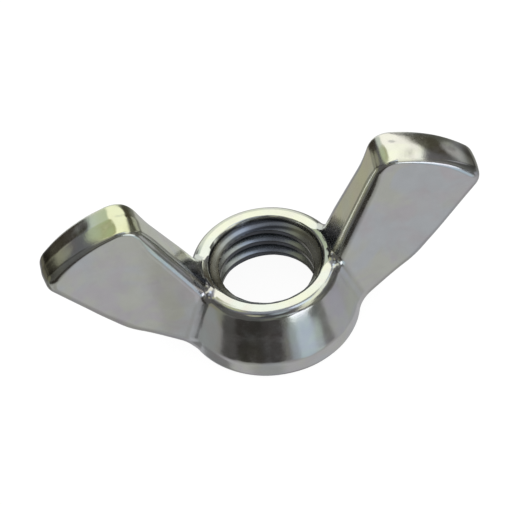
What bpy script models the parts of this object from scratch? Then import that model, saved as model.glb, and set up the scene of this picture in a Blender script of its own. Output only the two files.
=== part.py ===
"""Forged wing nut, M12 x 1.75, modelled as the single piece of zinc plated steel that it is.

The origin is on the bore axis in the plane of the bearing face. +Z is the bore axis, +X runs along the wings.
Built from a turned conical boss, a wing blade (elevation outline crossed with plan outline, edges rounded),
a countersunk bore and a cut right-hand thread.
"""

import math

import bmesh
import bpy

MM = 0.001

# Boss, turned about Z.
BOSS_HEIGHT = 8.4
BOSS_TOP_RADIUS = 7.75
BOSS_TOP_ROUND = 1.2
BOSS_BARREL_RADIUS = 8.37
BOSS_BARREL_Z = 6.6
BOSS_BARREL_ROUND = 26.0
BASE_RADIUS = 9.5
BASE_LAND_HEIGHT = 2.2
BASE_LAND_ROUND = 3.0
BASE_ROUND = 0.8
TURN_STEPS = 96

# Thread and bore, ISO metric M12 x 1.75, right hand.
THREAD_MAJOR_RADIUS = 6.0
THREAD_PITCH = 1.75
THREAD_MINOR_RADIUS = THREAD_MAJOR_RADIUS - 0.5413 * THREAD_PITCH
THREAD_ROOT_FLAT = THREAD_PITCH / 8
THREAD_INNER_RADIUS = 4.8
THREAD_HALF_ANGLE = math.radians(30)
THREAD_START = 0.65
THREAD_TURNS = 5
THREAD_STEPS = 60
TOP_SINK_RADIUS = 6.2
TOP_SINK_NECK = (5.98, 0.45)
TOP_SINK_DEPTH = 0.95
BOTTOM_SINK_RADIUS = 8.1
BOTTOM_SINK_SLOPE = 0.9
CUT_OVERRUN = 1.0

# Wing outline in elevation, right half, as corners (x, z, corner radius) from the foot round to the boss top.
WING_FOOT = (9.8, 0.75, 2.4)
WING_BELLY = (16.1, 5.0, 10.0)
WING_TIP = (24.55, 15.15, 2.0)
WING_CROWN = (20.2, 19.5, 16.0)
WING_HEAD = (13.4, 21.6, 2.5)
WING_THROAT = (6.4, 8.37, 1.2)

# Wing in plan, right half, as corners (x, half thickness, corner radius).
WING_ROOT_PLAN = (8.4, 2.9, 2.0)
WING_NECK_PLAN = (11.6, 2.3, 6.0)
WING_END_PLAN = 27.0
WING_EDGE_ROUND = 1.3
WING_EDGE_SEGMENTS = 5
WING_EDGE_ANGLE = math.radians(40)
BLADE_DEPTH = 5.0

ARC_STEP = math.radians(12)
ARC_MIN_STEPS = 2
WELD = 0.00001

ZINC_COLOUR = (0.60, 0.61, 0.62, 1.0)
ZINC_ROUGHNESS = 0.28


def clear_scene():
    for obj in list(bpy.data.objects):
        bpy.data.objects.remove(obj, do_unlink=True)


def new_collection(name):
    coll = bpy.data.collections.new(name)
    bpy.context.scene.collection.children.link(coll)
    return coll


def zinc_material():
    mat = bpy.data.materials.new("zinc_plated_steel")
    mat.use_nodes = True
    shader = mat.node_tree.nodes["Principled BSDF"]
    shader.inputs["Base Color"].default_value = ZINC_COLOUR
    shader.inputs["Metallic"].default_value = 1.0
    shader.inputs["Roughness"].default_value = ZINC_ROUGHNESS
    mat.diffuse_color = ZINC_COLOUR
    return mat


def rounded(corners):
    """Points along a path whose inner corners are rounded; each corner is (a, b, radius)."""
    points = [corners[0][:2]]
    for before, here, after in zip(corners, corners[1:], corners[2:]):
        points.extend(corner_arc(before, here, after))
    points.append(corners[-1][:2])
    return points


def corner_arc(before, here, after):
    """Points of the arc that rounds the corner `here`."""
    radius = here[2]
    if radius == 0:
        return [here[:2]]
    ux, uy = unit(here, before)
    vx, vy = unit(here, after)
    opening = math.acos(ux * vx + uy * vy)
    reach = radius / math.tan(opening / 2)
    bx, by = unit((0, 0), (ux + vx, uy + vy))
    to_centre = radius / math.sin(opening / 2)
    cx, cy = here[0] + bx * to_centre, here[1] + by * to_centre
    start = math.atan2(here[1] + uy * reach - cy, here[0] + ux * reach - cx)
    end = math.atan2(here[1] + vy * reach - cy, here[0] + vx * reach - cx)
    sweep = (end - start + math.pi) % (2 * math.pi) - math.pi
    count = max(ARC_MIN_STEPS, math.ceil(abs(sweep) / ARC_STEP))
    angles = [start + sweep * i / count for i in range(count + 1)]
    return [(cx + radius * math.cos(a), cy + radius * math.sin(a)) for a in angles]


def unit(start, end):
    dx, dy = end[0] - start[0], end[1] - start[1]
    length = math.hypot(dx, dy)
    return dx / length, dy / length


def turned(name, points, coll, closed=False):
    """A profile in the XZ half plane turned a full circle about Z."""
    obj = profile_object(name, points, coll, closed)
    screw = obj.modifiers.new("Turn", "SCREW")
    screw.axis = "Z"
    screw.angle = 2 * math.pi
    screw.steps = TURN_STEPS
    screw.render_steps = TURN_STEPS
    screw.use_merge_vertices = True
    screw.merge_threshold = WELD
    return obj


def profile_object(name, points, coll, closed):
    verts = [(r * MM, 0.0, z * MM) for r, z in points]
    edges = [(i, i + 1) for i in range(len(verts) - 1)]
    if closed:
        edges.append((len(verts) - 1, 0))
    mesh = bpy.data.meshes.new(name)
    mesh.from_pydata(verts, edges, [])
    obj = bpy.data.objects.new(name, mesh)
    coll.objects.link(obj)
    return obj


def boss_profile():
    return rounded(
        [
            (0.0, BOSS_HEIGHT, 0),
            (BOSS_TOP_RADIUS, BOSS_HEIGHT, BOSS_TOP_ROUND),
            (BOSS_BARREL_RADIUS, BOSS_BARREL_Z, BOSS_BARREL_ROUND),
            (BASE_RADIUS, BASE_LAND_HEIGHT, BASE_LAND_ROUND),
            (BASE_RADIUS, 0.0, BASE_ROUND),
            (0.0, 0.0, 0),
        ]
    )


def bore_profile():
    """Outer side of the bore cutter, from above the boss to below the bearing face."""
    neck_radius, neck_depth = TOP_SINK_NECK
    top_slope = (TOP_SINK_RADIUS - neck_radius) / neck_depth
    bottom_depth = (BOTTOM_SINK_RADIUS - THREAD_MINOR_RADIUS) / BOTTOM_SINK_SLOPE
    top = BOSS_HEIGHT + CUT_OVERRUN
    return [
        (0.0, top),
        (TOP_SINK_RADIUS + top_slope * CUT_OVERRUN, top),
        (neck_radius, BOSS_HEIGHT - neck_depth),
        (THREAD_MINOR_RADIUS, BOSS_HEIGHT - TOP_SINK_DEPTH),
        (THREAD_MINOR_RADIUS, bottom_depth),
        (BOTTOM_SINK_RADIUS + BOTTOM_SINK_SLOPE * CUT_OVERRUN, -CUT_OVERRUN),
        (0.0, -CUT_OVERRUN),
    ]


def thread_section():
    """Section of the thread groove, reaching from inside the bore out to the major diameter."""
    root = THREAD_ROOT_FLAT / 2
    mouth = root + (THREAD_MAJOR_RADIUS - THREAD_INNER_RADIUS) * math.tan(THREAD_HALF_ANGLE)
    return [
        (THREAD_INNER_RADIUS, THREAD_START + mouth),
        (THREAD_MAJOR_RADIUS, THREAD_START + root),
        (THREAD_MAJOR_RADIUS, THREAD_START - root),
        (THREAD_INNER_RADIUS, THREAD_START - mouth),
    ]


def to_mesh(obj, coll):
    """Replace an object by a plain mesh of its finished shape."""
    graph = bpy.context.evaluated_depsgraph_get()
    mesh = bpy.data.meshes.new_from_object(obj.evaluated_get(graph))
    solid = bpy.data.objects.new(obj.name + "_solid", mesh)
    solid.matrix_world = obj.matrix_world.copy()
    coll.objects.link(solid)
    bpy.data.objects.remove(obj, do_unlink=True)
    return solid


def tidy_mesh(obj):
    """Weld caps on, close open ends and turn the faces outwards."""
    work = bmesh.new()
    work.from_mesh(obj.data)
    bmesh.ops.remove_doubles(work, verts=work.verts, dist=WELD)
    open_edges = [e for e in work.edges if e.is_boundary]
    if open_edges:
        bmesh.ops.holes_fill(work, edges=open_edges, sides=0)
    bmesh.ops.recalc_face_normals(work, faces=work.faces)
    work.to_mesh(obj.data)
    work.free()


def thread_cutter(coll):
    """Right-hand helical ridge that cuts the thread groove."""
    obj = turned("thread", thread_section(), coll, closed=True)
    screw = obj.modifiers["Turn"]
    screw.screw_offset = THREAD_PITCH * MM
    screw.iterations = THREAD_TURNS
    screw.steps = THREAD_STEPS
    screw.render_steps = THREAD_STEPS
    screw.use_merge_vertices = False
    solid = to_mesh(obj, coll)
    tidy_mesh(solid)
    return solid


def mirrored(half):
    """A closed outline from its right half, mirrored about the vertical axis."""
    return half + [(-a, b) for a, b in reversed(half)]


def slab(name, outline, half_thickness, tilt, coll):
    """A filled outline drawn in its own plane, thickened both ways, then tilted about X."""
    curve = bpy.data.curves.new(name, "CURVE")
    curve.dimensions = "2D"
    curve.fill_mode = "BOTH"
    curve.extrude = half_thickness * MM
    spline = curve.splines.new("POLY")
    spline.points.add(len(outline) - 1)
    for point, (a, b) in zip(spline.points, outline):
        point.co = (a * MM, b * MM, 0.0, 1.0)
    spline.use_cyclic_u = True
    obj = bpy.data.objects.new(name, curve)
    obj.rotation_euler = (tilt, 0.0, 0.0)
    coll.objects.link(obj)
    bpy.context.view_layer.update()
    solid = to_mesh(obj, coll)
    tidy_mesh(solid)
    return solid


def elevation_outline():
    floor = (0.0, WING_FOOT[1], 0)
    ceiling = (0.0, WING_THROAT[1], 0)
    path = [floor, WING_FOOT, WING_BELLY, WING_TIP, WING_CROWN, WING_HEAD, WING_THROAT, ceiling]
    return mirrored(rounded(path)[1:-1])


def plan_outline():
    """Half thickness along the wing: wide at the boss, easing to the plain blade."""
    start = (0.0, WING_ROOT_PLAN[1], 0)
    end = (WING_END_PLAN, WING_NECK_PLAN[1], 0)
    right = rounded([start, WING_ROOT_PLAN, WING_NECK_PLAN, end])[1:]
    front = [(a, -b) for a, b in right]
    back = list(reversed(right))
    return front + back + [(-a, b) for a, b in right] + [(-a, b) for a, b in reversed(front)]


def boolean(obj, other, operation, name):
    mod = obj.modifiers.new(name, "BOOLEAN")
    mod.operation = operation
    mod.solver = "EXACT"
    mod.object = other


def hide_tool(obj):
    obj.hide_render = True
    obj.display_type = "WIRE"


def wing_blade(coll):
    """Both wings and the web between them, with their edges rounded."""
    blade = slab("blade", elevation_outline(), BLADE_DEPTH, math.pi / 2, coll)
    plan = slab("plan", plan_outline(), 2 * WING_HEAD[1], 0.0, coll)
    boolean(blade, plan, "INTERSECT", "Plan")
    edge = blade.modifiers.new("Edge", "BEVEL")
    edge.limit_method = "ANGLE"
    edge.angle_limit = WING_EDGE_ANGLE
    edge.width = WING_EDGE_ROUND * MM
    edge.segments = WING_EDGE_SEGMENTS
    edge.use_clamp_overlap = False
    hide_tool(plan)
    return blade


def build():
    clear_scene()
    parts = new_collection("wing_nut")
    tools = new_collection("wing_nut_cutters")
    body = turned("wing_nut_body", boss_profile(), parts)
    blade = wing_blade(tools)
    bore = turned("bore", bore_profile(), tools)
    thread = thread_cutter(tools)
    boolean(body, blade, "UNION", "Wings")
    boolean(body, bore, "DIFFERENCE", "Bore")
    boolean(body, thread, "DIFFERENCE", "Thread")
    for tool in (blade, bore, thread):
        hide_tool(tool)
    body.data.materials.append(zinc_material())


build()
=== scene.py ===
import math

import bmesh
import bpy
import numpy as np
from mathutils import Matrix, Vector


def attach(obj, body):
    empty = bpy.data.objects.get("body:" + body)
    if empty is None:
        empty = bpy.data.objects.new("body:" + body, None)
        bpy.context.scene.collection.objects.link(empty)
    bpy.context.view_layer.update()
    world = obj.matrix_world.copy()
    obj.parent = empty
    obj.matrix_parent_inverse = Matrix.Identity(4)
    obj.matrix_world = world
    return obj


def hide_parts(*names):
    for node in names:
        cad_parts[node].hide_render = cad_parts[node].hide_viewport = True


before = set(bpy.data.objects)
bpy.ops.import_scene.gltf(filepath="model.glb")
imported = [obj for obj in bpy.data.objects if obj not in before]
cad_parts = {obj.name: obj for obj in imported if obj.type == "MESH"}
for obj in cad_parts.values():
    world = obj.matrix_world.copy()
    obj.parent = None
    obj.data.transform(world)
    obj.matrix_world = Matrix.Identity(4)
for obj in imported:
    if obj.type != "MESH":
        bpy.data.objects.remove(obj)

# Wing nut drawn as one skin in the frame of its CAD part: +X along the wings, -Y to the front, +Z up.
MM = 0.001

# Boss profile, mm.
BOSS_HEIGHT = 8.4
BOSS_TOP_RADIUS = 7.75
BOSS_TOP_ROUND = 1.2
BOSS_BARREL_RADIUS = 8.37
BOSS_BARREL_Z = 6.6
BOSS_BARREL_ROUND = 26.0
BASE_RADIUS = 9.5
BASE_LAND_HEIGHT = 2.2
BASE_LAND_ROUND = 3.0
BASE_ROUND = 0.8

# Thread and bore, mm.
THREAD_MAJOR_RADIUS = 6.0
THREAD_PITCH = 1.75
THREAD_MINOR_RADIUS = THREAD_MAJOR_RADIUS - 0.5413 * THREAD_PITCH
THREAD_ROOT_FLAT = THREAD_PITCH / 8
THREAD_SLOPE = math.tan(math.radians(60))
CREST_EASE = 0.06
TOP_MOUTH_RADIUS = 6.22
TOP_MOUTH_SLOPE = 0.5
TOP_SHELF_RADIUS = 6.95
TOP_SHELF_SLOPE = 2.0
THREAD_START = 0.65
MOUTH_EASE = 0.14
BOTTOM_SINK_RADIUS = 8.1
BOTTOM_SINK_SLOPE = 0.9
BORE_OVERRUN = 1.0
BORE_COLUMNS = 240
# Rows of the bore mesh in one pitch: on each flank, on each half crest, and close round their corner.
FLANK_ROWS = 10
CREST_ROWS = 4
CORNER_ROWS = (-0.02, 0.01, 0.05)
CORNER_REACH = 0.05
CREST_GAP = 0.04
MOUTH_EASE_SHARE = 0.8
MOUTH_EASE_LIMIT = 2.0

# Outline of a wing in elevation, as corners (x, z, corner radius), mm. It starts and ends inside the boss.
INSIDE_X = -6.0
WING_THROAT_Z = 8.37
WING_LOWER = [(INSIDE_X, 0.8, 0), (9.8, 0.75, 2.4), (16.1, 5.0, 10.0), (24.55, 15.15, 2.0)]
WING_CLOSE = (INSIDE_X, WING_THROAT_Z, 0)
WING_HEAD_CORNER = (13.4, 21.6)
WING_OUTLINE = [
    *WING_LOWER,
    (20.2, 19.5, 16.0),
    (*WING_HEAD_CORNER, 2.5),
    (6.4, WING_THROAT_Z, 1.2),
    WING_CLOSE,
]
# The -X wing is a little lower at the head, and its head corner lies further out.
OTHER_OUTLINE = [
    *WING_LOWER,
    (20.2, 19.4, 14.0),
    (13.9, 21.35, 2.9),
    (6.5, WING_THROAT_Z, 1.2),
    WING_CLOSE,
]
# Half thickness of the wing along its length, as corners (x, half thickness, corner radius), mm.
WING_HALF_THICKNESS = 2.3
WING_PLAN = [
    (-1.0, 2.9, 0),
    (8.4, 2.9, 2.0),
    (13.2, WING_HALF_THICKNESS, 20.0),
    (30.0, WING_HALF_THICKNESS, 0),
]
# Radii along the wing edges: wide on the edge facing the bore, most of all on its back; small on the ends.
WING_INNER_ROUND = 2.0
WING_FRONT_ROUND = 1.4
WING_ROUND_TURN = 0.5
WING_HEAD_ROUND = 0.32
WING_TIP_ROUND = 0.9
WING_TIP_Z = 16.0
WING_HEAD_Z = 20.5
# Parting line of the forging dies, a faint ridge left on the outer end at -X.
FLASH_HEIGHT = 0.035
FLASH_WIDTH = 0.42
# Dents on the outer ends as (x, y, radius, depth).
END_NICKS = [
    (15.1, 1.0, 0.55, 0.10),
    (17.0, -1.3, 0.80, 0.06),
    (21.3, 0.4, 0.90, 0.05),
    (-14.9, 0.5, 0.60, 0.09),
    (-16.3, -1.2, 0.70, 0.07),
    (-19.0, 0.9, 0.80, 0.05),
]
# Height of the crown of the outer end across its thickness.
END_CROWN = 0.24
END_CROWN_REACH = 1.2
# Across this line from the head corner the edge rounding changes, over this spread, from inner to outer.
WING_HEAD_BISECTOR = (0.367, -0.930)
WING_ROUND_SPREAD = (-3.5, 0.5)
# The wing faces start to show the forging unevenness at this distance from the axis, over this length.
FACE_WAVE_START = 9
FACE_WAVE_LENGTH = 3
WAVE_HEIGHT = 0.012
# Slow waves as radians per mm along x, y and z, and a phase.
CROSSING_WAVES = ((0.55, 0.0, 0.9, 1.3), (-0.7, 0.3, 0.40, 0.4))
SIDE_WAVE = (1.25, 1.0, -0.8, 2.1)
SIDE_WAVE_SHARE = 0.6
BOSS_WAVE_SHARE = 0.6

# Fillet between wing and boss, mm: wider towards the foot, then small at the bearing face itself.
FILLET_TOP = 0.9
FILLET_FOOT = 1.1
FILLET_TOP_Z = BOSS_HEIGHT
FILLET_FOOT_Z = 2.5
FILLET_POWER = 1.5
FILLET_BEARING = 0.3
FILLET_RISE = 1.2

ARC_STEP = math.radians(3)
ARC_CHORD = 0.15
ARC_MIN_STEPS = 3
TABLE_STEP = 0.05
TABLE_LOW = (-1.0, -2.0)
TABLE_HIGH = (27.0, 24.0)
GRID_STEP = 0.14
GRID_LOW = (-25.2, -10.6, -0.9)
GRID_HIGH = (25.2, 10.6, 22.4)
PROJECT_STEPS = 4
SHARP_ANGLE = math.radians(32)
LEVEL_TOLERANCE = 1e-9
WELD = 1e-7
SLOPE_STEP = 0.05
SLOPE_FLOOR = 0.05
SKIN_TOLERANCE = 0.01
SKIN_AGREEMENT = 0.8

# Colours of the plate and the shares in which they are laid over each other; ROUGHNESS is its range.
BLUE_ZINC = (0.81, 0.835, 0.88, 1.0)
YELLOW_ZINC = (0.84, 0.85, 0.79, 1.0)
PINK_ZINC = (0.82, 0.79, 0.83, 1.0)
DULLED_ZINC = (0.42, 0.42, 0.41, 1.0)
DULLED_SHARE = 0.08
# The three bore wall colours are painted light and shade: painted shade for the dark wall deep in the bore,
# painted light for the bands on the flanks and under the top mouth, and painted light on the sides.
BORE_PAINTED_SHADE = (0.11, 0.115, 0.135, 1.0)
BORE_PAINTED_LIGHT = (0.44, 0.46, 0.52, 1.0)
BORE_SIDE_PAINTED_LIGHT = (0.40, 0.38, 0.32, 1.0)
BORE_SIDE_LIGHT_SHARE = 0.7
# Painted shade darkening the outer tips of the wings.
TIP_PAINTED_SHADE = (0.16, 0.15, 0.13, 1.0)
STAIN = (0.72, 0.73, 0.44, 1.0)
STAIN_SHARE = 0.6
# Painted shade in corners and creases: its colour, share and ambient occlusion reach.
CREASE_PAINTED_SHADE = (0.20, 0.24, 0.26, 1.0)
CREASE_SHADE_SHARE = 0.55
CREASE_SHADE_REACH = 0.0012
ROUGHNESS = (0.12, 0.19)
BORE_ROUGHER = 0.10
SCRATCH_SCALE = (900.0, 900.0, 9000.0)
# Noise in the plate as scale per metre, detail, roughness and distortion.
CLOUD_NOISE = (260.0, 3.0, 0.55, 0.6)
TINT_NOISE = (140.0, 2.0, 0.5, 0.8)
DULLED_NOISE = (420.0, 3.0, 0.6, 0.4)
SMEAR_NOISE = (520.0, 4.0, 0.6, 1.2)
GRAIN_NOISE = (9000.0, 3.0, 0.6)
SATIN_NOISE = (2600.0, 3.0, 0.6)
SCRATCH_NOISE = (1.0, 2.0, 0.5)
WAVE_NOISE = (330.0, 1.0, 0.4)
# Soft edges of the colours, from where they start to where they are full, metres.
BORE_EDGE = (0.00620, 0.00606)
# The flank, shelf and side edges below place the painted light in the bore.
FLANK_INNER = (0.00508, 0.00516)
FLANK_OUTER = (0.00574, 0.00554)
FLANK_TOP = (0.00750, 0.00735)
SHELF_LOWER = (0.00756, 0.00765)
SHELF_UPPER = (0.00785, 0.00773)
WALL_SIDES = (0.0030, 0.0055)
# Where the painted shade on the wing tips starts.
TIP_EDGE = (0.0219, 0.0231)
STAIN_INNER = (-0.0124, -0.0136)
STAIN_OUTER = (-0.0186, -0.0160)
STAIN_LEVEL = (0.0185, 0.0196)
# Bumps of the plate: strength and depth in metres, and the shares of grain and scratches beside the satin.
FINE_BUMP = {"Strength": 0.22, "Distance": 0.00002}
SLOW_BUMP = {"Strength": 0.55, "Distance": 0.00006}
GRAIN_SHARE = 0.25
SCRATCH_SHARE = 0.35

# Floor, and the white backdrop that lights it.
FLOOR_SIZE = 3.0
FLOOR_GLOW = 1.12
FLOOR_GLOW_SHARE = 0.9
SKY_WHITE = (1.16, 1.16, 1.16, 1.0)

# Camera: degrees, metres, and the width it takes in at the boss top, mm.
CAMERA_AZIMUTH = -8.8
CAMERA_ELEVATION = 48.4
CAMERA_ROLL = 7.82
CAMERA_DISTANCE = 0.9
CAMERA_SENSOR = 36.0
CAMERA_CLIP = (0.05, 50.0)
FRAME_WIDTH = 53.6834
# Where the centre of the boss top sits in the frame, in shares of its width from the frame's centre.
AIM_RIGHT = 0.0256
AIM_DOWN = 0.0141


# ---------------------------------------------------------------- outlines and distances

def unit(start, end):
    dx, dy = end[0] - start[0], end[1] - start[1]
    length = math.hypot(dx, dy)
    return dx / length, dy / length


def corner_arc(before, here, after):
    """Points of the arc that rounds one corner of an outline."""
    radius = here[2]
    if radius == 0:
        return [here[:2]]
    ux, uy = unit(here, before)
    vx, vy = unit(here, after)
    opening = math.acos(ux * vx + uy * vy)
    reach = radius / math.tan(opening / 2)
    bx, by = unit((0, 0), (ux + vx, uy + vy))
    to_centre = radius / math.sin(opening / 2)
    cx, cy = here[0] + bx * to_centre, here[1] + by * to_centre
    start = math.atan2(here[1] + uy * reach - cy, here[0] + ux * reach - cx)
    end = math.atan2(here[1] + vy * reach - cy, here[0] + vx * reach - cx)
    sweep = (end - start + math.pi) % (2 * math.pi) - math.pi
    by_chord = math.ceil(abs(sweep) * radius / ARC_CHORD)
    count = max(ARC_MIN_STEPS, math.ceil(abs(sweep) / ARC_STEP), by_chord)
    angles = [start + sweep * i / count for i in range(count + 1)]
    return [(cx + radius * math.cos(a), cy + radius * math.sin(a)) for a in angles]


def rounded(corners):
    points = [corners[0][:2]]
    for before, here, after in zip(corners, corners[1:], corners[2:]):
        points.extend(corner_arc(before, here, after))
    points.append(corners[-1][:2])
    return np.array(points)


def signed_distance(points, loop):
    """Distance of each 2-D point to a closed loop, negative inside."""
    out = np.empty(len(points))
    a, b = loop, np.roll(loop, -1, axis=0)
    edge = b - a
    length2 = np.maximum((edge ** 2).sum(1), 1e-12)
    chunk = 8192
    for start in range(0, len(points), chunk):
        p = points[start:start + chunk, None, :]
        rel = p - a
        t = np.clip((rel * edge).sum(2) / length2, 0, 1)
        off = rel - t[..., None] * edge
        dist = np.sqrt((off ** 2).sum(2).min(1))
        spans = (a[:, 1] <= p[..., 1]) != (b[:, 1] <= p[..., 1])
        rise = np.where(np.abs(edge[:, 1]) < 1e-12, 1e-12, edge[:, 1])
        at = a[:, 0] + (p[..., 1] - a[:, 1]) / rise * edge[:, 0]
        inside = (spans & (at > p[..., 0])).sum(1) % 2 == 1
        out[start:start + chunk] = np.where(inside, -dist, dist)
    return out


def distance_table(loop):
    a = np.arange(TABLE_LOW[0], TABLE_HIGH[0] + TABLE_STEP, TABLE_STEP)
    b = np.arange(TABLE_LOW[1], TABLE_HIGH[1] + TABLE_STEP, TABLE_STEP)
    grid = np.stack(np.meshgrid(a, b, indexing="ij"), -1).reshape(-1, 2)
    return signed_distance(grid, loop).reshape(len(a), len(b))


def look_up(table, a, b):
    """Bilinear reading of a distance table."""
    u = np.clip((a - TABLE_LOW[0]) / TABLE_STEP, 0, table.shape[0] - 1.001)
    v = np.clip((b - TABLE_LOW[1]) / TABLE_STEP, 0, table.shape[1] - 1.001)
    i, j = u.astype(int), v.astype(int)
    u, v = u - i, v - j
    low = table[i, j] * (1 - u) + table[i + 1, j] * u
    high = table[i, j + 1] * (1 - u) + table[i + 1, j + 1] * u
    return low * (1 - v) + high * v


BOSS_TABLE = distance_table(rounded([
    (INSIDE_X, BOSS_HEIGHT, 0),
    (BOSS_TOP_RADIUS, BOSS_HEIGHT, BOSS_TOP_ROUND),
    (BOSS_BARREL_RADIUS, BOSS_BARREL_Z, BOSS_BARREL_ROUND),
    (BASE_RADIUS, BASE_LAND_HEIGHT, BASE_LAND_ROUND),
    (BASE_RADIUS, 0.0, BASE_ROUND),
    (INSIDE_X, 0.0, 0),
]))
WING_TABLE = distance_table(rounded(WING_OUTLINE))
OTHER_TABLE = distance_table(rounded(OTHER_OUTLINE))
PLAN_PATH = rounded(WING_PLAN)


def sine(wave, x, y, z):
    along_x, along_y, along_z, phase = wave
    return np.sin(along_x * x + along_y * y + along_z * z + phase)


def forging_wave(x, y, z):
    """Slow unevenness left by the forging dies, mm."""
    first, second = CROSSING_WAVES
    crossing = sine(first, x, y, z) * sine(second, x, y, z)
    return WAVE_HEIGHT * (crossing + SIDE_WAVE_SHARE * sine(SIDE_WAVE, x, y, z))


def nicks(x, y):
    """Small dents hammered into the outer ends in the barrel, mm."""
    depth = np.zeros_like(x)
    for at_x, at_y, size, sunk in END_NICKS:
        depth = depth + sunk * np.exp(-((x - at_x) ** 2 + (y - at_y) ** 2) / size ** 2)
    return depth


def wing_round(side, y, z):
    """Edge radius of the wing: wide along the inner edge, small round the outer end."""
    dx, dz = side - WING_HEAD_CORNER[0], z - WING_HEAD_CORNER[1]
    past = WING_HEAD_BISECTOR[0] * dz - WING_HEAD_BISECTOR[1] * dx
    share = np.clip((past - WING_ROUND_SPREAD[0]) / (WING_ROUND_SPREAD[1] - WING_ROUND_SPREAD[0]), 0, 1)
    share = share * share * (3 - 2 * share)
    rise = np.clip((z - WING_TIP_Z) / (WING_HEAD_Z - WING_TIP_Z), 0, 1)
    end_round = WING_TIP_ROUND + (WING_HEAD_ROUND - WING_TIP_ROUND) * rise
    back = np.clip(y + WING_ROUND_TURN, 0, 1)
    inner_round = WING_FRONT_ROUND + (WING_INNER_ROUND - WING_FRONT_ROUND) * back
    return inner_round + (end_round - inner_round) * share, share


def nut_distance(x, y, z):
    """Signed distance of the nut without its bore: boss and wings joined by a fillet."""
    boss = look_up(BOSS_TABLE, np.hypot(x, y), z) - BOSS_WAVE_SHARE * forging_wave(x, y, z)
    side = np.abs(x)
    edge = np.where(x < 0, look_up(OTHER_TABLE, side, z), look_up(WING_TABLE, side, z))
    thick = np.interp(side, PLAN_PATH[:, 0], PLAN_PATH[:, 1])
    face_wave = forging_wave(x, y, z) * np.clip((side - FACE_WAVE_START) / FACE_WAVE_LENGTH, 0, 1)
    face = np.abs(y) - thick - face_wave
    r, outer_end = wing_round(side, y, z)
    edge = edge + END_CROWN * outer_end * np.minimum(y / WING_HALF_THICKNESS, END_CROWN_REACH) ** 2
    edge = edge + nicks(x, y) * outer_end
    edge = edge - FLASH_HEIGHT * outer_end * (x < 0) * np.exp(-(y / FLASH_WIDTH) ** 2)
    outer = np.hypot(np.maximum(edge + r, 0), np.maximum(face + r, 0))
    wing = np.minimum(np.maximum(edge + r, face + r), 0) + outer - r
    share = np.clip((FILLET_TOP_Z - z) / (FILLET_TOP_Z - FILLET_FOOT_Z), 0, 1)
    k = FILLET_TOP + (FILLET_FOOT - FILLET_TOP) * share ** FILLET_POWER
    k = np.minimum(k, FILLET_BEARING + np.maximum(z, 0) * FILLET_RISE)
    blend = np.hypot(np.maximum(k - boss, 0), np.maximum(k - wing, 0))
    return np.maximum(k, np.minimum(boss, wing)) - blend


def gradient(x, y, z):
    eps = SLOPE_STEP
    return np.stack([
        nut_distance(x + eps, y, z) - nut_distance(x - eps, y, z),
        nut_distance(x, y + eps, z) - nut_distance(x, y - eps, z),
        nut_distance(x, y, z + eps) - nut_distance(x, y, z - eps),
    ], 1) / (2 * eps)


# ---------------------------------------------------------------- skin of the distance field

def axis_points(low, high):
    return np.arange(low, high + GRID_STEP, GRID_STEP)


def field_on_grid(xs, ys, zs):
    field = np.empty((len(xs), len(ys), len(zs)), np.float32)
    yy, zz = np.meshgrid(ys, zs, indexing="ij")
    for i, x in enumerate(xs):
        field[i] = nut_distance(np.full_like(yy, x), yy, zz)
    return field


def crossing_edges(field, axis):
    """Grid edges along one axis whose ends lie on opposite sides of the skin."""
    low = np.take(field, range(0, field.shape[axis] - 1), axis)
    high = np.take(field, range(1, field.shape[axis]), axis)
    index = np.argwhere((low < 0) != (high < 0))
    a = low[tuple(index.T)]
    b = high[tuple(index.T)]
    return index, a / (a - b), a < 0


def skin(field, origin):
    """Surface nets: one point in each crossed cell, one quad for each crossed edge."""
    cells = np.array(field.shape) - 1
    total = np.zeros((int(cells.prod()), 3))
    count = np.zeros(int(cells.prod()))
    quads = []
    for axis in range(3):
        index, at, outward = crossing_edges(field, axis)
        u, v = (axis + 1) % 3, (axis + 2) % 3
        keep = (index[:, [u, v]] > 0).all(1) & (index[:, [u, v]] < cells[[u, v]]).all(1)
        index, at, outward = index[keep], at[keep], outward[keep]
        point = index.astype(float)
        point[:, axis] += at
        corner = []
        for du, dv in ((0, 0), (1, 0), (1, 1), (0, 1)):
            cell = index.copy()
            cell[:, u] -= du
            cell[:, v] -= dv
            flat = (cell[:, 0] * cells[1] + cell[:, 1]) * cells[2] + cell[:, 2]
            for k in range(3):
                np.add.at(total[:, k], flat, point[:, k])
            np.add.at(count, flat, 1)
            corner.append(flat)
        quad = np.stack(corner, 1)
        quad[~outward] = quad[~outward][:, ::-1]
        quads.append(quad)
    used = np.flatnonzero(count)
    number = np.full(len(count), -1)
    number[used] = np.arange(len(used))
    points = total[used] / count[used][:, None] * GRID_STEP + origin
    return points, number[np.concatenate(quads)]


def settle(points):
    """Move each point straight onto the skin."""
    for _ in range(PROJECT_STEPS):
        x, y, z = points.T
        g = gradient(x, y, z)
        size2 = np.maximum((g ** 2).sum(1), SLOPE_FLOOR)
        points = points - g * (nut_distance(x, y, z) / size2)[:, None]
    return points


def mesh_object(name, points, faces):
    mesh = bpy.data.meshes.new(name)
    mesh.from_pydata((points * MM).tolist(), [], [list(map(int, f)) for f in faces])
    mesh.validate()
    obj = bpy.data.objects.new(name, mesh)
    bpy.context.scene.collection.objects.link(obj)
    return obj


def outer_solid():
    xs, ys, zs = (axis_points(GRID_LOW[k], GRID_HIGH[k]) for k in range(3))
    points, quads = skin(field_on_grid(xs, ys, zs), np.array(GRID_LOW))
    return mesh_object("nut_skin", settle(points), quads)


# ---------------------------------------------------------------- threaded bore

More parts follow.
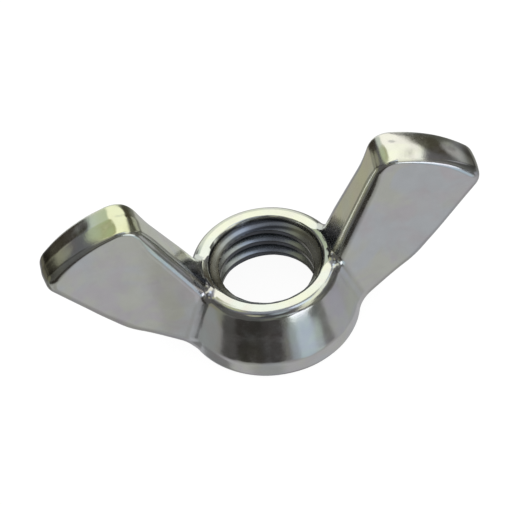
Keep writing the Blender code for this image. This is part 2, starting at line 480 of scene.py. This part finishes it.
def groove_radius(s):
    """Radius of the thread groove at height s from its root, crests eased a little."""
    away = np.abs((s + THREAD_PITCH / 2) % THREAD_PITCH - THREAD_PITCH / 2)
    flank = THREAD_MAJOR_RADIUS - np.maximum(away - THREAD_ROOT_FLAT / 2, 0) * THREAD_SLOPE
    low = THREAD_MINOR_RADIUS
    mix = np.clip(0.5 + (flank - low) / (2 * CREST_EASE), 0, 1)
    return low + (flank - low) * mix + CREST_EASE * mix * (1 - mix)


def bore_radius(z, s):
    """Radius of the hollow: thread groove, top mouth over a steeper shelf, wide bottom mouth."""
    depth = BOSS_HEIGHT - z
    mouth = TOP_MOUTH_RADIUS - TOP_MOUTH_SLOPE * depth
    shelf = TOP_SHELF_RADIUS - TOP_SHELF_SLOPE * depth
    top = np.minimum(mouth, shelf) + mouth_flare(depth)
    bottom = BOTTOM_SINK_RADIUS - BOTTOM_SINK_SLOPE * z + mouth_flare(z)
    return np.maximum(groove_radius(s), np.maximum(top, bottom))


def mouth_flare(depth):
    """Extra radius that eases the corner where the bore meets a flat face."""
    return MOUTH_EASE * MOUTH_EASE_SHARE * np.clip(1 - depth / MOUTH_EASE, 0, MOUTH_EASE_LIMIT) ** 2


def bore_rows():
    """Row heights of the bore, packed where the thread section bends, and the number in one pitch."""
    root = THREAD_ROOT_FLAT / 2
    crest = root + (THREAD_MAJOR_RADIUS - THREAD_MINOR_RADIUS) / THREAD_SLOPE
    half = np.concatenate([
        np.linspace(root, crest - CORNER_REACH, FLANK_ROWS),
        [crest + offset for offset in CORNER_ROWS],
        np.linspace(crest + CORNER_REACH, THREAD_PITCH / 2 - CREST_GAP, CREST_ROWS)[1:],
    ])
    one = np.concatenate([half, THREAD_PITCH - half[::-1]])
    low = math.floor((-BORE_OVERRUN - THREAD_PITCH) / THREAD_PITCH) - 1
    high = math.ceil((BOSS_HEIGHT + BORE_OVERRUN) / THREAD_PITCH) + 1
    rows = np.concatenate([one + k * THREAD_PITCH for k in range(low, high)])
    return rows, len(one)


def bore_solid():
    """Closed solid of the hollow, its rows following the thread."""
    rows, per_pitch = bore_rows()
    low, high = -BORE_OVERRUN, BOSS_HEIGHT + BORE_OVERRUN
    turn = np.arange(BORE_COLUMNS) / BORE_COLUMNS
    z = np.clip(rows[:, None] + THREAD_START + turn[None, :] * THREAD_PITCH, low, high)
    r = bore_radius(z, z - THREAD_START - turn[None, :] * THREAD_PITCH)
    angle = 2 * math.pi * turn[None, :]
    points = np.stack([r * np.cos(angle), r * np.sin(angle), z], -1).reshape(-1, 3)
    ids = np.arange(z.size).reshape(z.shape)
    height = len(rows) - per_pitch
    after = np.concatenate([ids[:height, 1:], ids[per_pitch:, :1]], axis=1)
    here = ids[:height]
    quads = np.stack([here[:-1], after[:-1], after[1:], here[1:]], -1).reshape(-1, 4)
    level = points[quads][:, :, 2]
    quads = quads[np.ptp(level, axis=1) > LEVEL_TOLERANCE]
    obj = mesh_object("nut_bore", points, quads)
    work = bmesh.new()
    work.from_mesh(obj.data)
    loose = [v for v in work.verts if not v.link_faces]
    bmesh.ops.delete(work, geom=loose, context="VERTS")
    bmesh.ops.remove_doubles(work, verts=work.verts, dist=WELD)
    bmesh.ops.holes_fill(work, edges=[e for e in work.edges if e.is_boundary], sides=0)
    bmesh.ops.recalc_face_normals(work, faces=work.faces)
    work.to_mesh(obj.data)
    work.free()
    return obj


def cut_bore(body, bore):
    """Take the threaded hollow out of the skin."""
    cut = body.modifiers.new("Bore", "BOOLEAN")
    cut.operation = "DIFFERENCE"
    cut.solver = "MANIFOLD"
    cut.object = bore
    graph = bpy.context.evaluated_depsgraph_get()
    mesh = bpy.data.meshes.new_from_object(body.evaluated_get(graph))
    body.modifiers.clear()
    body.data = mesh
    bpy.data.objects.remove(bore, do_unlink=True)


def true_normals(body):
    """Shade the skin with the exact slope of the distance field; the bore keeps its own normals."""
    mesh = body.data
    count = len(mesh.vertices)
    points = np.empty(count * 3)
    mesh.vertices.foreach_get("co", points)
    x, y, z = points.reshape(-1, 3).T / MM
    off = np.abs(nut_distance(x, y, z))
    slope = gradient(x, y, z)
    slope = slope / np.linalg.norm(slope, axis=1)[:, None]
    corners = np.empty(len(mesh.loops), int)
    mesh.loops.foreach_get("vertex_index", corners)
    normals = np.empty(len(mesh.loops) * 3)
    mesh.corner_normals.foreach_get("vector", normals)
    normals = normals.reshape(-1, 3)
    starts = np.empty(len(mesh.polygons), int)
    sizes = np.empty(len(mesh.polygons), int)
    mesh.polygons.foreach_get("loop_start", starts)
    mesh.polygons.foreach_get("loop_total", sizes)
    face_of = np.repeat(np.arange(len(sizes)), sizes)
    worst = np.maximum.reduceat(off[corners], starts)
    smooth = (worst < SKIN_TOLERANCE)[face_of]
    agree = (normals * slope[corners]).sum(1) > SKIN_AGREEMENT
    use = smooth & agree
    normals[use] = slope[corners][use]
    mesh.normals_split_custom_set(normals.tolist())


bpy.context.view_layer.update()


# ---------------------------------------------------------------- zinc plate

class Tree:
    """Short way to add and join shader nodes."""

    def __init__(self, tree):
        self.tree = tree
        tree.nodes.clear()

    def add(self, kind, inputs=None, **settings):
        node = self.tree.nodes.new(kind)
        for key, value in settings.items():
            setattr(node, key, value)
        for key, value in (inputs or {}).items():
            self.put(node, key, value)
        return node

    def put(self, node, key, value):
        socket = node.inputs[key]
        if isinstance(value, bpy.types.NodeSocket):
            self.tree.links.new(value, socket)
        else:
            socket.default_value = value

    def math(self, operation, a, b=0.0, c=0.0):
        node = self.add("ShaderNodeMath", {0: a, 1: b, 2: c}, operation=operation)
        return node.outputs[0]

    def ramp(self, value, low, high, to_low=0.0, to_high=1.0):
        keys = {"Value": value, "From Min": low, "From Max": high, "To Min": to_low, "To Max": to_high}
        node = self.add("ShaderNodeMapRange", keys, interpolation_type="SMOOTHSTEP")
        return node.outputs["Result"]

    def mix(self, share, a, b, blend="MIX"):
        node = self.add("ShaderNodeMix", data_type="RGBA", blend_type=blend)
        node.clamp_result = False
        self.put(node, 0, share)
        self.put(node, 6, a)
        self.put(node, 7, b)
        return node.outputs[2]

    def band(self, value, rise, fall):
        """1 between two soft edges, 0 outside them."""
        return self.math("MULTIPLY", self.ramp(value, *rise), self.ramp(value, *fall))

    def noise(self, where, scale, detail=3.0, rough=0.5, distortion=0.0):
        keys = {"Vector": where, "Scale": scale, "Detail": detail}
        keys.update({"Roughness": rough, "Distortion": distortion})
        return self.add("ShaderNodeTexNoise", keys).outputs["Fac"]


def plate_colour(t, where):
    """Slow blue, yellow and pink tints of the passivation, with duller patches."""
    clouds = t.noise(where, *CLOUD_NOISE)
    tint = t.noise(where, *TINT_NOISE)
    dulled = t.ramp(t.noise(where, *DULLED_NOISE), 0.35, 0.70)
    base = t.mix(t.ramp(tint, 0.42, 0.58), BLUE_ZINC, YELLOW_ZINC)
    base = t.mix(t.ramp(clouds, 0.42, 0.66), base, PINK_ZINC)
    return t.mix(t.math("MULTIPLY", dulled, DULLED_SHARE), base, DULLED_ZINC)


def bore_painted_light_and_shade(t, base, axes, deep, radius):
    """Walls of the thread: painted shade darkens the bore, with painted light half way up the flanks and
    just under the top mouth, and painted light on its left and right sides.
    """
    level = axes[2]
    mid = t.band(radius, FLANK_INNER, FLANK_OUTER)
    mid = t.math("MULTIPLY", mid, t.ramp(level, *FLANK_TOP))
    shelf = t.band(level, SHELF_LOWER, SHELF_UPPER)
    side = t.ramp(t.math("ABSOLUTE", axes[0]), *WALL_SIDES)
    wall = t.mix(t.math("MAXIMUM", mid, shelf), BORE_PAINTED_SHADE, BORE_PAINTED_LIGHT)
    wall = t.mix(t.math("MULTIPLY", side, BORE_SIDE_LIGHT_SHARE), wall, BORE_SIDE_PAINTED_LIGHT)
    return t.mix(deep, base, wall)


def tip_shade_and_stain(t, base, axes):
    """Painted shade darkening the tips of the wings, and a yellow passivation stain round the head of the
    -X wing.
    """
    normal = t.add("ShaderNodeNewGeometry").outputs["Normal"]
    facing = t.add("ShaderNodeSeparateXYZ", {0: normal}).outputs[1]
    on_end = t.math("SUBTRACT", 1.0, t.math("ABSOLUTE", facing))
    tip = t.ramp(t.math("ABSOLUTE", axes[0]), *TIP_EDGE)
    base = t.mix(t.math("MULTIPLY", tip, on_end), base, TIP_PAINTED_SHADE)
    stain = t.band(axes[0], STAIN_INNER, STAIN_OUTER)
    stain = t.math("MULTIPLY", stain, t.ramp(axes[2], *STAIN_LEVEL))
    stain = t.math("MULTIPLY", stain, t.ramp(on_end, 0.3, 0.9))
    return t.mix(t.math("MULTIPLY", stain, STAIN_SHARE), base, STAIN)


def crease_painted_shade(t, base):
    """Painted shade darkening the corners and creases, where ambient occlusion finds them."""
    reach = {"Distance": CREASE_SHADE_REACH}
    hollow = t.add("ShaderNodeAmbientOcclusion", reach, samples=8, only_local=True).outputs["AO"]
    crease = t.ramp(hollow, 0.85, 0.45)
    return t.mix(t.math("MULTIPLY", crease, CREASE_SHADE_SHARE), base, CREASE_PAINTED_SHADE)


def plate_relief(t, where):
    """Bumps of the plate: fine grain, satin and level scratches over a slow wave."""
    grain = t.noise(where, *GRAIN_NOISE)
    satin = t.noise(where, *SATIN_NOISE)
    stretch = t.add("ShaderNodeMapping", {"Vector": where, "Scale": SCRATCH_SCALE}).outputs[0]
    scratch = t.noise(stretch, *SCRATCH_NOISE)
    height = t.math("ADD", t.math("MULTIPLY", grain, GRAIN_SHARE), satin)
    height = t.math("ADD", height, t.math("MULTIPLY", scratch, SCRATCH_SHARE))
    fine = t.add("ShaderNodeBump", {**FINE_BUMP, "Height": height})
    wave = t.noise(where, *WAVE_NOISE)
    keys = {**SLOW_BUMP, "Height": wave, "Normal": fine.outputs[0]}
    return t.add("ShaderNodeBump", keys).outputs[0]


def zinc_plate():
    mat = bpy.data.materials.new("zinc_plate")
    mat.use_nodes = True
    t = Tree(mat.node_tree)
    where = t.add("ShaderNodeTexCoord").outputs["Object"]
    axes = t.add("ShaderNodeSeparateXYZ", {0: where}).outputs
    square = t.math("ADD", t.math("POWER", axes[0], 2.0), t.math("POWER", axes[1], 2.0))
    radius = t.math("SQRT", square)
    deep = t.ramp(radius, *BORE_EDGE)
    base = plate_colour(t, where)
    # Painted light and shade on the bore walls.
    base = bore_painted_light_and_shade(t, base, axes, deep, radius)
    # Painted shade on the wing tips, and the yellow stain.
    base = tip_shade_and_stain(t, base, axes)
    # Painted shade in the corners and creases.
    base = crease_painted_shade(t, base)
    smear = t.noise(where, *SMEAR_NOISE)
    rough = t.ramp(smear, 0.30, 0.72, *ROUGHNESS)
    rough = t.math("ADD", rough, t.math("MULTIPLY", deep, BORE_ROUGHER))
    keys = {"Base Color": base, "Metallic": 1.0, "Roughness": rough, "Normal": plate_relief(t, where)}
    shader = t.add("ShaderNodeBsdfPrincipled", keys)
    out = t.add("ShaderNodeOutputMaterial")
    t.put(out, "Surface", shader.outputs[0])
    return mat


def floor_material():
    mat = bpy.data.materials.new("pale_floor")
    mat.use_nodes = True
    t = Tree(mat.node_tree)
    where = t.add("ShaderNodeTexCoord").outputs["Object"]
    mottle = t.noise(where, 60.0, 2.0, 0.5)
    colour = t.mix(mottle, (0.925, 0.925, 0.925, 1.0), (0.94, 0.94, 0.94, 1.0))
    shaded = t.add("ShaderNodeBsdfDiffuse", {"Color": colour})
    glow = t.add("ShaderNodeEmission", {"Color": colour, "Strength": FLOOR_GLOW})
    both = t.add("ShaderNodeMixShader", {"Fac": FLOOR_GLOW_SHARE, 1: shaded.outputs[0], 2: glow.outputs[0]})
    out = t.add("ShaderNodeOutputMaterial")
    t.put(out, "Surface", both.outputs[0])
    return mat


# ---------------------------------------------------------------- studio

def aim(around, up):
    """Direction given by degrees round from the front (-Y) towards +X, and degrees above the floor."""
    a, e = math.radians(around), math.radians(up)
    return Vector((math.sin(a) * math.cos(e), -math.cos(a) * math.cos(e), math.sin(e)))


# The studio as the metal mirrors it: tones by height (z of the ray), then soft patches painted over them.
# A patch is its direction, inner and outer half angle in degrees, and colour.
STUDIO_LEVELS = [
    (-1.00, (0.28, 0.275, 0.275)),
    (-0.82, (0.41, 0.41, 0.41)),
    (-0.70, (0.43, 0.435, 0.43)),
    (-0.50, (0.30, 0.30, 0.29)),
    (-0.30, (0.15, 0.15, 0.14)),
    (0.10, (0.08, 0.08, 0.07)),
    (0.70, (0.12, 0.12, 0.12)),
    (1.00, (0.25, 0.26, 0.28)),
]
STUDIO_PATCHES = [
    # Behind: bright ceiling and back wall.
    (aim(180, 8), 20, 32, (0.75, 0.78, 0.68)),
    (aim(180, 53), 25, 33, (1.10, 1.12, 0.93)),
    # High on the right: the strip lamp that rims the right-hand end.
    (aim(120, 50), 8, 13, (1.00, 1.02, 0.85)),
    (aim(95, 53), 8, 14, (0.90, 0.92, 0.76)),
    (aim(70, 53), 8, 14, (0.90, 0.92, 0.76)),
    (aim(50, 46), 6, 11, (0.85, 0.88, 0.72)),
    (aim(62, 67), 6, 12, (0.80, 0.92, 1.05)),
    (aim(40, 30), 7, 13, (0.72, 0.73, 0.60)),
    # High on the left.
    (aim(-100, 64), 7, 13, (0.46, 0.48, 0.29)),
    # The camera side.
    (aim(-14, 50), 16, 28, (0.05, 0.05, 0.05)),
    (aim(4, 60), 5, 13, (0.34, 0.38, 0.41)),
    (aim(-38, 48), 5, 10, (0.42, 0.41, 0.28)),
    (aim(2, 23), 6, 12, (0.22, 0.24, 0.22)),
    (aim(17, 17), 4, 9, (0.60, 0.66, 0.68)),
    # Right of the object, seen in the right-hand end and the left-hand edge.
    (aim(98, 28), 9, 16, (0.11, 0.11, 0.09)),
    (aim(55, 12), 8, 15, (0.17, 0.17, 0.15)),
    (aim(149, 39), 13, 21, (1.10, 1.12, 0.94)),
    (aim(136, 17), 8, 14, (0.055, 0.050, 0.034)),
    (aim(126, 2), 6, 11, (0.41, 0.42, 0.38)),
    (aim(106, 14), 5, 10, (0.34, 0.34, 0.34)),
    (aim(136, -11), 4, 9, (0.20, 0.20, 0.19)),
    (aim(138, -29), 9, 17, (0.48, 0.49, 0.45)),
    (aim(104, -27), 9, 18, (0.34, 0.35, 0.34)),
    (aim(78, -26), 9, 15, (0.36, 0.37, 0.39)),
    (aim(85, -13), 5, 10, (0.15, 0.15, 0.13)),
    # Left of the object.
    (aim(-150, 50), 10, 17, (0.40, 0.42, 0.26)),
    (aim(-146, 45), 5, 12, (0.44, 0.50, 0.33)),
    (aim(-159, 31), 5, 11, (0.55, 0.62, 0.50)),
    (aim(-145, 10), 11, 18, (0.034, 0.029, 0.018)),
    (aim(-114, 16), 7, 14, (0.045, 0.042, 0.032)),
    (aim(-128, 3), 4, 9, (0.29, 0.29, 0.21)),
    (aim(-98, 38), 8, 17, (0.060, 0.060, 0.050)),
    (aim(-127, 20), 5, 10, (0.26, 0.26, 0.19)),
    (aim(-133, -18), 9, 16, (0.40, 0.39, 0.29)),
    (aim(-95, -8), 14, 26, (0.24, 0.24, 0.17)),
    (aim(-60, 25), 14, 24, (0.09, 0.09, 0.08)),
    (aim(-95, -28), 8, 15, (0.27, 0.28, 0.26)),
    (aim(-97, -50), 10, 18, (0.20, 0.20, 0.19)),
    # In front, seen in the cone of the boss.
    (aim(-67, -22), 7, 12, (0.070, 0.070, 0.062)),
    (aim(-48, -17), 9, 14, (0.030, 0.028, 0.023)),
    (aim(-30, -15), 9, 14, (0.030, 0.027, 0.022)),
    (aim(-12, -14), 9, 14, (0.045, 0.040, 0.036)),
    (aim(-14, 10), 6, 12, (0.15, 0.15, 0.12)),
    (aim(15, -21), 6, 10, (0.31, 0.36, 0.37)),
    (aim(28, -24), 9, 13, (0.44, 0.53, 0.58)),
    (aim(45, -17), 4, 8, (0.11, 0.115, 0.12)),
    (aim(42, -27), 4, 8, (0.46, 0.53, 0.52)),
    (aim(65, -20), 5, 9, (0.37, 0.37, 0.38)),
    (aim(55, -24), 3, 7, (0.17, 0.17, 0.17)),
    (aim(19, -6), 7, 10.5, (1.25, 1.35, 1.38)),
    (aim(26, -3), 9.5, 13, (1.28, 1.35, 1.38)),
    (aim(33, -5), 8, 11.5, (1.15, 1.20, 1.25)),
    (aim(-25, -50), 8, 18, (0.32, 0.32, 0.30)),
]


def studio():
    world = bpy.data.worlds.new("studio")
    bpy.context.scene.world = world
    world.use_nodes = True
    t = Tree(world.node_tree)
    ray = t.add("ShaderNodeTexCoord").outputs["Generated"]
    height = t.add("ShaderNodeSeparateXYZ", {0: ray}).outputs[2]
    colour = (*STUDIO_LEVELS[0][1], 1.0)
    for (low, _), (high, tone) in zip(STUDIO_LEVELS, STUDIO_LEVELS[1:]):
        colour = t.mix(t.ramp(height, low, high), colour, (*tone, 1.0))
    for towards, inner, outer, tone in STUDIO_PATCHES:
        keys = {0: ray, 1: towards}
        dot = t.add("ShaderNodeVectorMath", keys, operation="DOT_PRODUCT").outputs["Value"]
        mask = t.ramp(dot, math.cos(math.radians(outer)), math.cos(math.radians(inner)))
        colour = t.mix(mask, colour, (*tone, 1.0))
    path = t.add("ShaderNodeLightPath")
    shown = t.mix(path.outputs["Is Glossy Ray"], SKY_WHITE, colour)
    back = t.add("ShaderNodeBackground", {"Color": shown, "Strength": 1.0})
    out = t.add("ShaderNodeOutputWorld")
    t.put(out, "Surface", back.outputs[0])


def camera():
    data = bpy.data.cameras.new("camera")
    cam = bpy.data.objects.new("camera", data)
    bpy.context.scene.collection.objects.link(cam)
    bpy.context.scene.camera = cam
    data.sensor_width = CAMERA_SENSOR
    data.lens = CAMERA_SENSOR * CAMERA_DISTANCE / (FRAME_WIDTH * MM)
    data.shift_x = -AIM_RIGHT
    data.shift_y = AIM_DOWN
    data.clip_start, data.clip_end = CAMERA_CLIP
    back = aim(CAMERA_AZIMUTH, CAMERA_ELEVATION)
    turn = (-back).to_track_quat("-Z", "Y").to_matrix().to_4x4()
    roll = Matrix.Rotation(math.radians(-CAMERA_ROLL), 4, "Z")
    target = Vector((0.0, 0.0, BOSS_HEIGHT * MM))
    cam.matrix_world = Matrix.Translation(target + back * CAMERA_DISTANCE) @ turn @ roll


def floor():
    work = bmesh.new()
    bmesh.ops.create_grid(work, x_segments=1, y_segments=1, size=FLOOR_SIZE)
    mesh = bpy.data.meshes.new("floor")
    work.to_mesh(mesh)
    work.free()
    obj = bpy.data.objects.new("floor", mesh)
    bpy.context.scene.collection.objects.link(obj)
    mesh.materials.append(floor_material())
    obj.visible_glossy = False


# ---------------------------------------------------------------- build

nut = outer_solid()
cut_bore(nut, bore_solid())
nut.name = "wing_nut_body_visual"
nut.data.shade_smooth()
nut.data.set_sharp_from_angle(angle=SHARP_ANGLE)
true_normals(nut)
nut.data.materials.clear()
nut.data.materials.append(zinc_plate())
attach(nut, "root")
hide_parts("wing_nut_body")

floor()
studio()
camera()
bpy.context.scene.view_settings.view_transform = "Standard"
